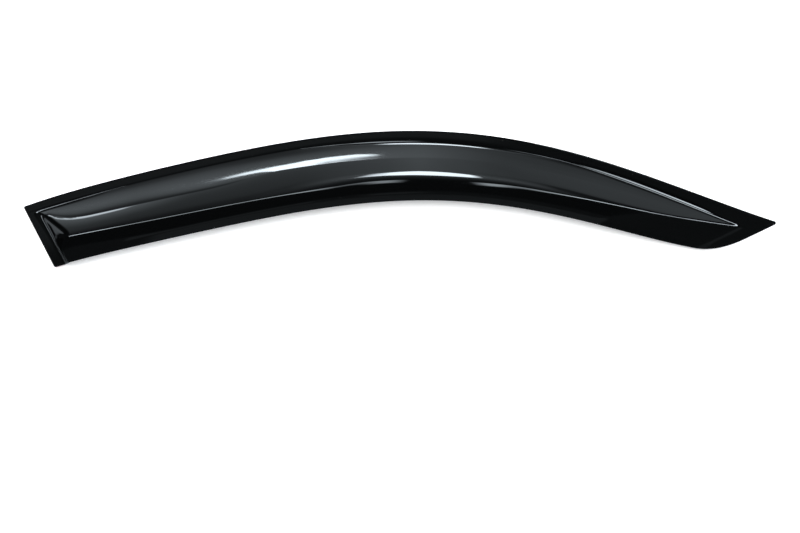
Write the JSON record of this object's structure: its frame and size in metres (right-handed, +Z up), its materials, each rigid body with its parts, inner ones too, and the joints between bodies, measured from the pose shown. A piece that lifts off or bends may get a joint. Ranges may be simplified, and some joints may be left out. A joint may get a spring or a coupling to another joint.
{
  "type": "window rain deflector",
  "caption": "Dark acrylic visor that arches over a car's side window: flat taped flange, sloping shoulder and upright skirt, closed at one end and tapering to a point at the other.",
  "frame": {"origin": "on the back of the liner, in the plane that lies on the door frame, midway across the tape at the crown of the arch", "axes": "X along the door towards the pointed front, Z up, outer face towards -Y, mounting plane towards +Y"},
  "size_m": [0.7973, 0.0327, 0.1447],
  "materials": {
    "acrylic": "gloss, as moulded",
    "foam_tape": "matt closed-cell foam",
    "release_liner": "thin glossy film"
  },
  "bodies": {
    "root": {"visor": "acrylic", "top_tape": "foam_tape", "end_tape": "foam_tape", "top_liner": "release_liner", "end_liner": "release_liner"}
  },
  "joints": []
}
